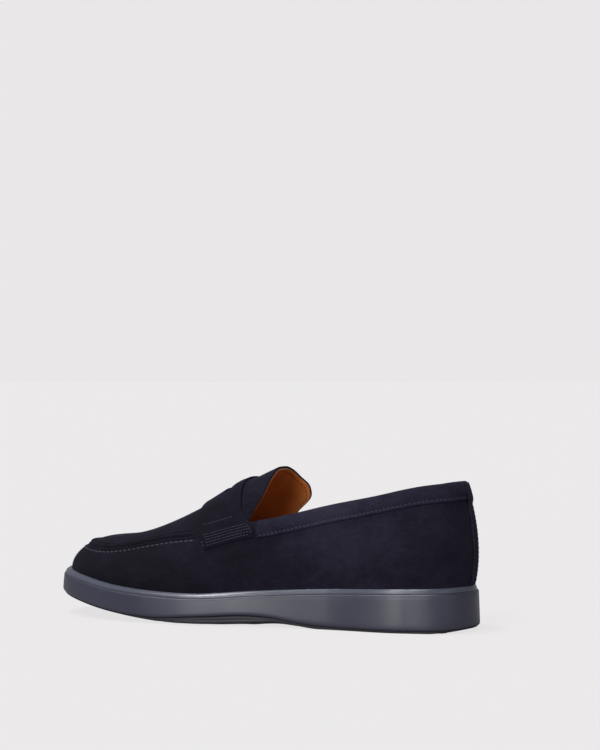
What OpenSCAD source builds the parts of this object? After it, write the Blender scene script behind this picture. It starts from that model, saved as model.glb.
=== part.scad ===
// Suede penny loafer, the left shoe of a pair. All lengths are millimetres.
// The toe points to -Y, the outer side of the foot is +X, and the treads rest on z = 0.

/* [Size] */
// Length of the sole from toe to heel
shoe_length = 300; // [250:5:330]
// Width of the sole at the ball of the foot
sole_width = 106; // [88:1:120]
// Height of the collar above the floor at the heel
collar_height = 95; // [85:1:105]

/* [Upper] */
// Thickness of the suede pieces
suede = 1.3; // [0.9:0.1:1.8]
// Thickness of the leather lining
lining = 0.9; // [0.6:0.1:1.2]
// Thickness of stiffeners and collar padding between suede and lining
filling = 1.4; // [1:0.1:2]
// Height of the rolled bead round the apron
bead = 1.3; // [0.5:0.1:2]
// Depth of the collar band below the topline
band_depth = 11.5; // [8:0.5:16]
// Half width of the strip over the back seam, in steps round the outline
back_strip_half = 0.9; // [0.4:0.1:1.4]
// Thickness of that strip
back_strip_suede = 0.8; // [0.6:0.1:1.2]
// Depth of the stitched tab at each end of the strap
tab_depth = 10.4; // [6:0.2:13]
// Half length of the slot in the strap, in degrees over the instep
slot_half = 22; // [8:1:30]

/* [Sole] */
// Height of the rim that stands round the upper
rim_height = 3.3; // [2:0.1:5]
// Thickness of the two treads
tread = 0.6; // [0.4:0.1:0.6]
// Distance from the wall of the sole to the upper at the toe
toe_inset = 6.5; // [4:0.5:8]
// Distance from the wall of the sole to the upper at the heel
heel_inset = 4.3; // [3:0.1:7]

/* [Stitches] */
// Length of one stitch along its seam
stitch_length = 2.3; // [1.5:0.1:3]
// Spacing of the stitches round the apron
apron_pitch = 3.7; // [3:0.1:6]
// Spacing of the fine stitches
fine_pitch = 2.8; // [2.4:0.1:6]
// Spacing of the stitches on the strap's tabs
tab_pitch = 2; // [1.8:0.1:4]
// Width of the thread
thread_width = 0.7; // [0.4:0.1:1.2]

/* [Show] */
// Sub-part to show, or all of them

/* [Hidden] */

SUEDE = [0.16, 0.16, 0.26];
LINING = [0.72, 0.40, 0.16];
RUBBER = [0.36, 0.37, 0.42];
OUTSOLE = [0.18, 0.18, 0.21];
THREAD = [0.42, 0.42, 0.55];
BOARD = [0.78, 0.70, 0.55];

// Steps from the heel tip to the toe tip along one side
K = 40;
GAP = 0.06;
half_length = shoe_length / 2;
sy = shoe_length / 300;
rise = collar_height / 95;
throat_y = 6.6 * sy;
// Where the collar band and its stitches begin behind the throat
band_y = 12.4 * sy;
seam_y = 13.5 * sy;

// Wall of the sole: the outer side from heel to toe, then the inner side back
outer_side = [[4, 150], [28, 141], [39, 114], [40, 60], [44, 10], [53, -40], [51, -80],
    [40, -115], [19, -142], [-4, -150]];
inner_side = [[4, 150], [-20, 141], [-31, 114], [-31, 60], [-38, 10], [-52, -45],
    [-52, -80], [-45, -113], [-26, -142], [-4, -150]];

// Heights along the length, as [y, z]
ledge_z = [[-150, 28], [-120, 24], [-90, 20], [-60, 17.8], [-25, 17], [10, 19.5], [50, 22],
    [100, 24], [150, 25.5]];
wall_low_z = [[-150, 16.8], [-120, 11.6], [-90, 6.9], [-60, 4.3], [-25, 5.7], [10, 7.2],
    [25, 6.3], [40, 3.9], [60, 2.1], [80, 2], [130, 2], [150, 3]];
outsole_low_z = [[-150, 15], [-120, 10], [-90, 5.5], [-60, 2.3], [-30, 0.9], [5, 1.8],
    [28, 3.1], [40, 1.9], [52, 0.2], [65, 0], [130, 0], [150, 2]];
spine_z = [[-150, 49], [-100, 53], [-80, 57.5], [-60, 65], [-40, 74.5], [-10, 91.5],
    [15, 102], [60, 117], [110, 128], [150, 130]];
// Upper edge of the side wall: the apron seam, then the topline behind the throat
edge_z = [[-150, 47.5], [-105, 46], [-90, 47.5], [-70, 51], [-50, 54.5], [-30, 57],
    [5, 66.5], [25, 70.5], [65, 80], [90, 85], [125, 92], [150, 94.5]];

// Shape along the length, as [y, value]
spine_x = [[-150, -3], [-60, -2], [0, 1], [60, 4], [150, 4]];
squareness = [[-150, 0.88], [-95, 0.82], [-50, 0.86], [-30, 0.88], [10, 0.76], [65, 0.74],
    [150, 0.68]];
fullness = [[-150, 0.7], [-100, 1.4], [-60, 2.2], [0, 1.2], [60, 1], [110, 2.2], [150, 3.6]];

// ---- curves ----
function unit(v) = v / norm(v);
function hermite(a, b, ma, mb, t) = (2 * t ^ 3 - 3 * t ^ 2 + 1) * a + (t ^ 3 - 2 * t ^ 2 + t) * ma
    + (3 * t ^ 2 - 2 * t ^ 3) * b + (t ^ 3 - t ^ 2) * mb;
// Slope at point i of a list, with the distances in d between the points
function slope(p, d, i) = let (n = len(p) - 1)
    i == 0 ? (p[1] - p[0]) / d[0] :
    i == n ? (p[n] - p[n - 1]) / d[n - 1] :
    ((p[i] - p[i - 1]) / d[i - 1] * d[i] + (p[i + 1] - p[i]) / d[i] * d[i - 1])
        / (d[i - 1] + d[i]);
function segment(tab, y, i = 0) = i >= len(tab) - 2 || y <= tab[i + 1][0] ? i
    : segment(tab, y, i + 1);
// Smooth value of a [y, value] list at y
function at(tab, y) = let (i = segment(tab, y),
    d = [for (j = [1:len(tab) - 1]) tab[j][0] - tab[j - 1][0]],
    v = [for (r = tab) r[1]], t = min(1, max(0, (y - tab[i][0]) / d[i])))
    hermite(v[i], v[i + 1], slope(v, d, i) * d[i], slope(v, d, i + 1) * d[i], t);
// One side of the outline as [y, x] pairs, through the other side's first and last points
function side_curve(p, q, steps = 12) = let (n = len(p), all = concat([q[1]], p, [q[n - 2]]),
    d = [for (i = [1:len(all) - 1]) norm(all[i] - all[i - 1])])
    [for (i = [1:n - 1], j = [0:(i == n - 1 ? steps : steps - 1)])
        let (c = hermite(all[i], all[i + 1], slope(all, d, i) * d[i],
            slope(all, d, i + 1) * d[i], j / steps)) [c[1], c[0]]];
outer_curve = side_curve(outer_side, inner_side);
inner_curve = side_curve(inner_side, outer_side);
// Width of the outline as drawn, and the scale that brings it to sole_width
drawn_width = max([for (c = outer_curve) c[1]]) - min([for (c = inner_curve) c[1]]);
sx = sole_width / drawn_width;

// ---- stations round the outline: k = 0 heel tip, K toe tip, negative on the inner side ----
function station_y(k) = let (a = 180 * abs(k) / K)
    half_length * cos(a) + throat_y * sin(a) ^ 2;
function station_at(y) = K / 180 * acos((half_length
    - sqrt(half_length ^ 2 - 4 * throat_y * (y - throat_y))) / (2 * throat_y));
raw_x = [for (c = [outer_curve, inner_curve]) [for (k = [0:K])
    lookup(station_y(k) / sy, c) * sx]];
centre_x = (max(raw_x[0]) + min(raw_x[1])) / 2;
function wall_point(k) = let (w = k > K ? k - 2 * K : k)
    [raw_x[w < 0 ? 1 : 0][abs(w)] - centre_x, station_y(w)];
function wall_normal(k) = let (t = wall_point(k + 1) - wall_point(k - 1)) unit([-t[1], t[0]]);
// Keeps y between the poles of the last, with a soft change
function pole_y(y, a = -100 * sy, b = 112 * sy, w = 25) =
    (sqrt((y - a) ^ 2 + w ^ 2) - sqrt((y - b) ^ 2 + w ^ 2) + a + b) / 2;

// Per station: wall x y, normal x y, foot x y z, crest x y z, squareness, fullness, edge z
function record(k) = let (p = wall_point(k), n = wall_normal(k), y = p[1] / sy,
    c = pole_y(p[1]), inset = heel_inset + (toe_inset - heel_inset)
        * min(1, max(0, (half_length - p[1]) / shoe_length)),
    f = p - n * inset)
    [p[0], p[1], n[0], n[1], f[0], f[1], at(ledge_z, y) + 0.2,
        at(spine_x, c / sy) * sx - centre_x, c, at(spine_z, c / sy) * rise,
        at(squareness, y), at(fullness, y), at(edge_z, y) * rise];
outer_records = [for (k = [0:K]) record(k)];
inner_records = [for (k = [0:K]) record(k == 0 || k == K ? k : -k)];
function mix(list, k) = let (i = min(floor(k), K - 1), f = k - i)
    list[i] * (1 - f) + list[i + 1] * f;
function rec(k) = let (w = k > K ? k - 2 * K : k < -K ? k + 2 * K : k)
    w < 0 ? mix(inner_records, -w) : mix(outer_records, w);
ROUND = [for (p = [0:2 * K - 1]) p <= K ? p : p - 2 * K];
function span(a, b) = [a, each [for (k = [ceil(a + 0.01):floor(b - 0.01)]) k], b];
// Stations from the outer side at a round the heel to the inner side, and round the toe
function round_heel(a) = [for (k = span(-a, a)) -k];
function round_toe(a) = [for (k = span(a, 2 * K - a)) k];

// ---- the last: angle 0 at the feather line, 90 on the crest ----
function last_point(r, a) = let (e = r[10], g = sin(a) ^ e, h = 1 - cos(a) ^ e,
    out = r[11] * sin(180 * min(1, g / 0.65) ^ 0.75))
    [r[4] + (r[7] - r[4]) * h + r[2] * out, r[5] + (r[8] - r[5]) * h + r[3] * out,
        r[6] + (r[9] - r[6]) * g];
function crest_normal(r) = let (s = (at(spine_z, r[8] / sy + 2) - at(spine_z, r[8] / sy - 2)) / 4)
    unit([0, -s * rise / sy, 1]);
function last_normal(k, a) = a > 89 ? crest_normal(rec(k)) :
    let (u = last_point(rec(k + 0.5), a) - last_point(rec(k - 0.5), a), r = rec(k),
        v = last_point(r, a + 0.7) - last_point(r, max(0, a - 0.7)))
    unit(cross(v, u));
// Point at distance o outside the last
function skin_point(k, a, o = 0) = last_point(rec(k), min(a, 90))
    + last_normal(k, min(a, 90)) * o;
function angle_at(k, z) = let (r = rec(k), g = min(1, max(0, (z - r[6]) / (r[9] - r[6]))))
    asin(g ^ (1 / r[10]));
function edge_angle(k) = angle_at(k, rec(k)[12]);
function mixed(a, b, t) = a + (b - a) * t;
function steps(n) = [for (i = [0:n]) i / n];

// ---- solids from grids of points ----
function quad(a, b, c, d) = [[a, b, c], [a, c, d]];

// Closed shell between two grids of columns; a dome is sewn along its crest
module shell(outside, inside, closed = false, dome = false) {
    n = len(outside);
    rows = len(outside[0]);
    m = n * rows;
    last = closed ? n - 1 : n - 2;
    function id(i, j) = let (w = i % n)
        (dome && j == rows - 1 && w > (n - 1) / 2 ? n - 1 - w : w) * rows + j;
    faces = concat(
        [for (i = [0:last], j = [0:rows - 2])
            each quad(id(i, j), id(i + 1, j), id(i + 1, j + 1), id(i, j + 1))],
        [for (i = [0:last], j = [0:rows - 2])
            each quad(m + id(i, j + 1), m + id(i + 1, j + 1), m + id(i + 1, j), m + id(i, j))],
        [for (i = [0:last]) each quad(m + id(i, 0), m + id(i + 1, 0), id(i + 1, 0), id(i, 0))],
        [if (!dome) for (i = [0:last]) each quad(id(i, rows - 1), id(i + 1, rows - 1),
            m + id(i + 1, rows - 1), m + id(i, rows - 1))],
        [if (!closed) for (j = [0:rows - 2])
            each quad(id(0, j), id(0, j + 1), m + id(0, j + 1), m + id(0, j))],
        [if (!closed) for (j = [0:rows - 2]) each quad(m + id(n - 1, j), m + id(n - 1, j + 1),
            id(n - 1, j + 1), id(n - 1, j))]);
    polyhedron(points = concat([for (c = outside) each c], [for (c = inside) each c]),
        faces = faces, convexity = 8);
}

// Shell over stations ks and angles given by a function of the station
module skin(ks, angles, o1, o2, closed = false, dome = false) {
    grid = [for (k = ks) let (r = angles(k)) [for (a = r)
        let (p = last_point(rec(k), a), n = last_normal(k, a)) [p, n]]];
    shell([for (c = grid) [for (q = c) q[0] + q[1] * o1]],
        [for (c = grid) [for (q = c) q[0] + q[1] * o2]], closed, dome);
}

// Ring of points at a distance inside the wall, at a height from a list plus dz
function ring(inset, tab, dz = 0, from = 0, least = -1) = [for (k = ROUND)
    let (r = rec(k), q = [r[0], r[1]] * (1 - from) + [r[4], r[5]] * from - [r[2], r[3]] * inset)
    [q[0], q[1], max(least, at(tab, r[1] / sy) + dz)]];

// Solid from stacked rings, lowest first; with hollow set the last ring meets the first
module stack(rings, hollow = false) {
    n = 2 * K;
    top = (len(rings) - 1) * n;
    function id(j, p) = (j % len(rings)) * n + p % n;
    sides = [for (j = [0:len(rings) - (hollow ? 1 : 2)], p = [0:n - 1])
        each quad(id(j, p), id(j, p + 1), id(j + 1, p + 1), id(j + 1, p))];
    caps = [for (p = [0:K - 1]) each let (a = p, b = p + 1, c = (n - b) % n, d = (n - p) % n)
        concat([if (p < K - 1) [top + a, top + b, top + c]],
            [if (p > 0) [top + a, p < K - 1 ? top + c : top + b, top + d]],
            [if (p < K - 1) [a, c, b]], [if (p > 0) [a, d, p < K - 1 ? c : b]])];
    polyhedron(points = [for (r = rings) each r],
        faces = hollow ? sides : concat(sides, caps), convexity = 6);
}

// Even marks along a path of [point, normal] pairs, as [point, direction, normal]
function marks(path, pitch) = let (n = len(path),
    s = [for (i = 0, d = 0; i < n; d = i + 1 < n ? d + norm(path[i + 1][0] - path[i][0]) : d,
        i = i + 1) d],
    total = s[n - 1], count = floor(total / pitch),
    tabs = [for (w = [0, 1]) [for (c = [0:2]) [for (i = [0:n - 1]) [s[i], path[i][w][c]]]]])
    [for (j = [0:count - 1]) let (x = (j + 0.5) * total / count,
        a = [for (c = [0:2]) lookup(x - 0.4, tabs[0][c])],
        b = [for (c = [0:2]) lookup(x + 0.4, tabs[0][c])])
        [(a + b) / 2, unit(b - a), unit([for (c = [0:2]) lookup(x, tabs[1][c])])]];

// Separate raised stitches, a flat-topped block each
module stitches(list, height = 0.5, length = stitch_length, width = thread_width) {
    corners = [for (m = list) let (w = unit(cross(m[2], m[1])))
        for (q = [[1, 0.12], [0.65, height]], c = [[-1, -1], [1, -1], [1, 1], [-1, 1]])
            m[0] + m[2] * q[1] + m[1] * c[0] * length / 2 * q[0]
                + w * c[1] * width / 2 * q[0]];
    block = [[0, 1, 2, 3], [7, 6, 5, 4], [0, 4, 5, 1], [1, 5, 6, 2], [2, 6, 7, 3], [3, 7, 4, 0]];
    polyhedron(points = corners, faces = [for (i = [0:len(list) - 1], f = block)
        each [[f[0], f[1], f[2]] + [1, 1, 1] * 8 * i, [f[0], f[2], f[3]] + [1, 1, 1] * 8 * i]]);
}
function on_skin(k, a, o) = [skin_point(k, a, o), last_normal(k, min(a, 89.5))];
// Path from y1 at drop d1 below the upper edge to y2 at d2, on one side (+1 outer, -1 inner)
function side_path(side, y1, d1, y2, d2, o) = [for (t = steps(8))
    let (k = side * station_at(mixed(y1, y2, t) * sy))
        on_skin(k, angle_at(k, rec(k)[12] - mixed(d1, d2, t)), o)];

// ---- upper ----
// Offsets of the layers from the last surface
under_suede = -suede - GAP;
over_lining = under_suede - filling - GAP;
in_lining = over_lining - lining;
// Height of the insole board's top above the ledge
board_top = 3.3;
margin_width = 12;
// Station of the throat, and drop from the topline to the quarters' edge behind it
throat = K / 2;
band_roll = 1.3;

// Vamp and quarters in one piece, down to the feather line
module side_wall() {
    // Behind the throat the wall ends lower, under the roll of the collar band
    function high(k) = rec(k)[12] - (abs(k) < throat ? band_roll : 0);
    function angles(k) = [for (t = [0, 0.06, 0.16, 0.32, 0.55, 0.78, 1])
        angle_at(k, mixed(rec(k)[6], high(k), t))];
    grid = [for (k = ROUND) let (r = rec(k)) [for (a = angles(k))
        [last_point(r, a), a == 0 ? [r[2], r[3], 0] : last_normal(k, a)]]];
    color(SUEDE) shell([for (c = grid) [for (q = c) q[0]]],
        [for (c = grid) [for (q = c) q[0] - q[1] * suede]], closed = true);
}
// The part of the side wall that is turned under the insole board and glued there
module lasting_margin() {
    color(SUEDE) stack([for (q = [[suede + GAP, 0.2], [margin_width, 0.2],
        [margin_width, 0.2 + suede], [suede + GAP, 0.2 + suede]])
        ring(q[0], ledge_z, q[1], 1)], hollow = true);
}

// Front panel inside the seam, with a rolled bead at its edge
module apron() {
    function rolled(k) = bead * min(1, max(0, (-30 - rec(k)[1] / sy) / 7));
    grid = [for (k = round_toe(throat + 0.5)) let (e = edge_angle(k)) concat(
        [for (q = [[0.6, 0.5], [2.4, 1], [5.2, 1], [7.6, 0.15]])
            [last_point(rec(k), e + q[0]), last_normal(k, e + q[0]), rolled(k) * q[1]]],
        [for (t = [0.18, 0.36, 0.55, 0.76, 1]) let (a = mixed(e + 5, 90, t))
            [last_point(rec(k), a), last_normal(k, a), 0]])];
    color(SUEDE) shell([for (c = grid) [for (q = c) q[0] + q[1] * q[2]]],
        [for (c = grid) [for (q = c) q[0] - q[1] * suede]], dome = true);
}

// Saddle strap over the instep: w runs 0 to 2 from a tab's lower edge to the crest
strap_front = [[0, -22.5], [1, -28.5], [1.4, -34], [2, -36], [2.6, -34]];
strap_back = [[0, 11], [0.8, 8], [1, 6], [1.1, 1.5], [1.3, -2], [1.6, -5], [2, -6.5],
    [2.4, -5]];
strap_lift = 0.3;
// Degrees over the instep from the upper edge to the crest
instep_turn = 55;
// How far the strap stands off the apron towards the crest
strap_rise = [[0, 0], [1.2, 0], [1.7, 0.3], [2, 0.4], [2.3, 0.3]];
function strap_angle(k, w) = w < 1 ? angle_at(k, rec(k)[12] - tab_depth * (1 - w))
    : mixed(edge_angle(k), 90, w - 1);
module strap() {
    across = [0, 0.5, 0.95, 1.1, 1.25, 1.4, 1.6, 1.7, 1.8, 1.9, 2];
    path = concat([for (w = across) [1, w]], [for (i = [len(across) - 2:-1:0]) [-1, across[i]]]);
    middle = 0.6;
    // Share of the strap's width at each column, opened round the slot
    function shares(w) = let (x = (2 - w) * instep_turn / slot_half, h = x >= 1 ? 0.015
        : 0.02 + 0.12 * sqrt(1 - x ^ 2))
        [0, 0.25, middle - h, middle + h, 0.8, 1];
    grid = [for (q = path) [for (s = shares(q[1]))
        let (y = mixed(at(strap_front, q[1]), at(strap_back, q[1]), s) * sy,
            k = q[0] * station_at(y), a = strap_angle(k, q[1]),
            o = strap_lift + at(strap_rise, q[1]))
        [skin_point(k, a, o), skin_point(k, a, o + suede)]]];
    open = [for (i = [0:len(path) - 2])
        min(path[i][1], path[i + 1][1]) >= 2 - slot_half / instep_turn];
    n = len(grid);
    rows = 6;
    m = n * rows;
    function id(i, j) = i * rows + j;
    function both(a, b) = quad(b, a, m + a, m + b);
    faces = concat(
        [for (i = [0:n - 2], j = [0:rows - 2]) if (!(j == 2 && open[i])) each concat(
            quad(id(i, j), id(i + 1, j), id(i + 1, j + 1), id(i, j + 1)),
            quad(m + id(i, j), m + id(i, j + 1), m + id(i + 1, j + 1), m + id(i + 1, j)))],
        [for (i = [0:n - 2]) each concat(both(id(i, 0), id(i + 1, 0)),
            both(id(i + 1, rows - 1), id(i, rows - 1)))],
        [for (i = [0:n - 2]) if (open[i]) each concat(both(id(i, 3), id(i + 1, 3)),
            both(id(i + 1, 2), id(i, 2)))],
        [for (i = [1:n - 2]) if (open[i] != open[i - 1]) each open[i]
            ? both(id(i, 2), id(i, 3)) : both(id(i, 3), id(i, 2))],
        [for (j = [0:rows - 2]) each concat(both(id(0, j + 1), id(0, j)),
            both(id(n - 1, j), id(n - 1, j + 1)))]);
    color(SUEDE) polyhedron(points = concat([for (c = grid) for (q = c) q[1]],
        [for (c = grid) for (q = c) q[0]]), faces = faces, convexity = 8);
}

// Arch over the instep from y1 to a curved free edge; low is degrees below the upper edge,
// and from is where the arch's foot lies along the tongue's edge
tongue_edge = [[0, 5], [0.1, 6], [0.3, 13], [0.6, 17], [1, 15], [1.3, 16], [1.5, 18.5],
    [1.7, 23.5], [1.8, 22.5], [1.9, 13], [2, 7]];
// How far the free edge stands off the last
tongue_flare = [[0, 0], [0.2, 2.5], [0.45, 2.9], [0.8, 1.5], [1, 1.1]];
module arch(y1, low, o1, o2, back = 0, from = 0) {
    share = [0, 0.07, 0.14, 0.2, 0.27, 0.36, 0.48, 0.62, 0.8, 1];
    path = concat([for (t = share) [1, t]], [for (i = [8:-1:0]) [-1, share[i]]]);
    grid = [for (q = path) let (s = from + (1 - from) * q[1]) [for (t = steps(5))
        let (y = mixed(y1, at(tongue_edge, q[0] > 0 ? s : 2 - s) - back, t) * sy,
            k = q[0] * station_at(y),
            a = mixed(edge_angle(k) - low, 90, q[1]),
            f = at(tongue_flare, s) * max(0, (y + 14) / 30) ^ 1.2)
        [skin_point(k, a, o1 + f), skin_point(k, a, o2 + f)]]];
    shell([for (i = [len(grid) - 1:-1:0]) [for (q = grid[i]) q[0]]],
        [for (i = [len(grid) - 1:-1:0]) [for (q = grid[i]) q[1]]]);
}
module tongue() {
    color(SUEDE) arch(-22, 5, under_suede, under_suede - suede);
}
module tongue_lining() {
    color(LINING) arch(-24, -1.5, under_suede - suede - GAP, under_suede - suede - GAP - lining,
        0.5, 0.1);
}

// Band over the top of the quarters, rolled over the edge to meet the lining
module collar_band() {
    profile = [[-band_depth, 1.15], [-7, 1.35], [-3, 1.3], [-0.8, 0.7], [0.1, -0.9],
        [-0.3, over_lining + 0.5]];
    inside = [[-band_depth, GAP], [-7, GAP], [-3, GAP], [-1.2 - GAP, GAP],
        [-1.2, -0.9], [-1.4, over_lining + 0.5]];
    ks = round_heel(station_at(band_y));
    // Points above the upper edge stand straight over it
    color(SUEDE) shell([for (k = ks) [for (q = profile)
            let (a = angle_at(k, rec(k)[12] + min(q[0], 0)))
            last_point(rec(k), a) + last_normal(k, a) * q[1] + [0, 0, max(0, q[0])]]],
        [for (k = ks) [for (q = inside) let (a = angle_at(k, rec(k)[12] + q[0]))
            last_point(rec(k), a) + last_normal(k, a) * q[1]]]);
}
function band_of(k, low, high, n) = [for (t = steps(n)) angle_at(k, mixed(low, high, t))];
module collar_padding() {
    color(BOARD) skin(round_heel(19), function (k) band_of(k, rec(k)[12] - band_depth,
        rec(k)[12] - 1.7, 3), under_suede, under_suede - filling);
}
// Strip over the back seam, from the rim up and over the collar band
module back_strip() {
    h = back_strip_half;
    // Heights against the upper edge, with the distance from the last
    over_band = [[-band_depth - 3, GAP], [-band_depth - 0.6, 1.2], [-band_depth + 0.8, 1.45],
        [-7, 1.5], [-3, 1.45], [-1.2, 1.1]];
    grid = [for (k = [h, h / 2, 0, -h / 2, -h]) let (r = rec(k),
        low = r[6] + rim_height + 0.4, high = r[12] - band_depth - 4)
        [for (q = concat([for (t = steps(5)) [mixed(low, high, t), GAP]],
            [for (b = over_band) [r[12] + b[0], b[1]]]))
            let (a = angle_at(k, q[0])) [last_point(r, a), last_normal(k, a), q[1]]]];
    color(SUEDE) shell([for (c = grid) [for (q = c) q[0] + q[1] * (q[2] + back_strip_suede)]],
        [for (c = grid) [for (q = c) q[0] + q[1] * q[2]]]);
}
module heel_counter() {
    color(BOARD) skin(round_heel(14), function (k) band_of(k, rec(k)[6] + board_top,
        rec(k)[12] - band_depth - 1, 5), under_suede, under_suede - filling);
}
module toe_puff() {
    color(BOARD) skin(round_toe(31), function (k) [for (t = steps(5))
        mixed(angle_at(k, rec(k)[6] + board_top), 66, t)], under_suede, under_suede - filling);
}
module vamp_lining() {
    color(LINING) skin(round_toe(23), function (k) [for (t = steps(6))
        mixed(angle_at(k, rec(k)[6] + board_top), 90, t)], over_lining, in_lining,
        dome = true);
}
module quarter_lining() {
    color(LINING) skin(round_heel(22.7), function (k) band_of(k, rec(k)[6] + board_top,
        rec(k)[12] - 0.6, 7), over_lining, in_lining);
}

// ---- inside of the sole ----
module layer(inset, low, high) {
    stack([ring(inset + 0.3, ledge_z, low, 1), ring(inset, ledge_z, low + 0.3, 1),
        ring(inset, ledge_z, high - 0.3, 1), ring(inset + 0.3, ledge_z, high, 1)]);
}
module insole_board() {
    color(BOARD) layer(suede + 0.3, 1.7, board_top);
}
module footbed() {
    color(BOARD) layer(-in_lining + 0.3, board_top + GAP, 7);
}
module sock_lining() {
    color(LINING) layer(-in_lining + 0.35, 7 + GAP, 8);
}
// Strip of even thickness along the ledge, from y1 to y2, with half widths at its ends
module ledge_strip(y1, y2, w1, w2, low, high, n) {
    grid = [for (t = steps(n)) let (y = mixed(y1, y2, t), w = mixed(w1, w2, t),
        x = at(spine_x, y) * 0.9 - centre_x, z = at(ledge_z, y))
        [for (c = [-w, w]) [[x + c, y * sy, z + high], [x + c, y * sy, z + low]]]];
    shell([for (c = grid) [for (q = c) q[0]]], [for (c = grid) [for (q = c) q[1]]]);
}
module bottom_filler() {
    color(BOARD) ledge_strip(-126, -16, 18, 26, 0.3, 1.5, 10);
}
module shank() {
    color([0.6, 0.6, 0.62]) ledge_strip(-8, 104, 7, 7, 0.3, 1.5, 10);
}

// ---- sole ----
module midsole() {
    color(RUBBER) stack([ring(1.4, wall_low_z, 0), ring(0.35, wall_low_z, 0.5),
        ring(0, wall_low_z, 1.7), ring(0.7, ledge_z, -1.4), ring(1.3, ledge_z, -0.6),
        ring(1.8, ledge_z, 0)]);
}
module rim() {
    color(RUBBER * 1.25) stack([ring(-0.06, ledge_z, GAP, 1), ring(2.3, ledge_z, GAP),
        ring(2, ledge_z, 0.5), ring(2.4, ledge_z, 1.3), ring(-0.95, ledge_z, rim_height, 1),
        ring(-0.3, ledge_z, rim_height, 1)], hollow = true);
}
module outsole() {
    color(OUTSOLE) stack([ring(10, outsole_low_z, -1.5, least = tread + GAP),
        ring(5, outsole_low_z, -0.5, least = tread + GAP),
        ring(2.4, outsole_low_z, 0.1, least = 0.1),
        ring(1.6, outsole_low_z, 0.8, least = 0.8),
        ring(1.5, wall_low_z, -0.5), ring(2, wall_low_z, -GAP)]);
}
// Flat tread inside the outline between y1 and y2, held back from the edge
module flat_tread(y1, y2, inset) {
    ks = [for (k = [0:K]) if (station_y(k) > y1 * sy && station_y(k) < y2 * sy) k];
    function edge(k) = let (r = rec(k)) [r[0] - r[2] * inset, r[1] - r[3] * inset];
    pts = concat([for (k = ks) edge(k)], [for (i = [len(ks) - 1:-1:0]) if (ks[i] > 0)
        edge(-ks[i])]);
    color(OUTSOLE * 1.3) linear_extrude(tread) polygon(pts);
}
module forefoot_tread() {
    flat_tread(-76, -14, 20);
}
module heel_tread() {
    flat_tread(62, 140, 6);
}

// ---- stitching ----
module apron_stitching() {
    color(THREAD) stitches(marks([for (k = round_toe(station_at(-32 * sy)))
        on_skin(k, angle_at(k, rec(k)[12] - 2.6), 0)], apron_pitch), 0.6);
}
module tab_stitching() {
    o = suede + strap_lift;
    // Long rows across the tab, then its rear and front ends and the row over the instep
    long = [for (d = [1.2:1.8:8.4]) let (w = 1 - d / tab_depth)
        [at(strap_front, w) + 2.6, d, at(strap_back, w) - 3, d]];
    rows = concat(long, [[5.8, 1.6, 9.4, 8.2], [-24.8, 4.4, -22.2, 9.2],
        [-27, -5.5, -5, -5.5]]);
    color(THREAD) stitches([for (side = [1, -1], r = rows)
        each marks(side_path(side, r[0], r[1], r[2], r[3], o), tab_pitch)], 0.4, 1.3, 0.5);
}
module collar_stitching() {
    // Each side ends short of the back strip
    ks = span(back_strip_half + 0.25, station_at(seam_y));
    color(THREAD) stitches([for (side = [1, -1]) each marks([for (k = ks * side)
        on_skin(k, angle_at(k, rec(k)[12] - band_depth + 1.6), 1.15)], fine_pitch)], 0.5, 1.8,
        0.6);
}
module lining_stitching() {
    path = [for (k = round_heel(station_at(seam_y)))
        let (a = angle_at(k, rec(k)[12] - 3)) [skin_point(k, a, in_lining), -last_normal(k, a)]];
    color(THREAD) stitches(marks(path, fine_pitch), 0.4, 1.8, 0.6);
}
module back_stitching() {
    h = back_strip_half - 0.16;
    color(THREAD) stitches([for (s = [h, -h]) each marks([for (t = steps(8)) let (r = rec(s))
        on_skin(s, angle_at(s, mixed(r[6] + rim_height + 2, r[12] - band_depth - 4, t)),
            back_strip_suede + GAP)], fine_pitch)], 0.4, 2, 0.5);
}

side_wall();
lasting_margin();
apron();
strap();
tongue();
collar_band();
collar_padding();
back_strip();
heel_counter();
toe_puff();
vamp_lining();
quarter_lining();
tongue_lining();
insole_board();
bottom_filler();
shank();
footbed();
sock_lining();
midsole();
rim();
outsole();
forefoot_tread();
heel_tread();
apron_stitching();
tab_stitching();
collar_stitching();
lining_stitching();
back_stitching();
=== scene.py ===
"""Looks for the suede penny loafer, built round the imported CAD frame.

Every upper piece lies on one surface, the last, which is worked out in millimetres with
the same tables and formulas as the CAD part. A point on it has a station k, which runs from 0
at the heel tip to K at the toe tip and is negative on the inner side, and an angle, which runs
from 0 at the feather line to a right angle on the crest. Meshes are scaled to metres when made.
"""

import math
from types import SimpleNamespace

import bmesh
import bpy
import numpy as np
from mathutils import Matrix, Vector

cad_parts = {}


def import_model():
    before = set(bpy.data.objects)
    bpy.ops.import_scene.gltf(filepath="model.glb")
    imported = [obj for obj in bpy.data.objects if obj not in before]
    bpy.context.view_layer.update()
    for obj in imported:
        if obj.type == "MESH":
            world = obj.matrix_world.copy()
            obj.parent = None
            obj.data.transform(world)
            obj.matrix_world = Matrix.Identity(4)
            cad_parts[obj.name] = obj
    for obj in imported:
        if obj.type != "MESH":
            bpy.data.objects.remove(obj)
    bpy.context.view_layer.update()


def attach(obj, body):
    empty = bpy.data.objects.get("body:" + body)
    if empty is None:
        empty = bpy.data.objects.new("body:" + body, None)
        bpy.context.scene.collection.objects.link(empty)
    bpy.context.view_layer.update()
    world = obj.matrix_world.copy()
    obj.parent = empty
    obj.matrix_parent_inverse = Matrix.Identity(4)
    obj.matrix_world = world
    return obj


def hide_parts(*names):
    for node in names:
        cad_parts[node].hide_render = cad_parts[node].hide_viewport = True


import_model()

MM = 0.001
HALF_PI = math.pi / 2

# ---- sizes, as in the CAD part ----
# Thickness of the layers, and the height of the bead round the apron
SUEDE = 1.3
LINING = 0.9
FILLING = 1.4
BEAD = 1.3
BAND_DEPTH = 11.5
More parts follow.
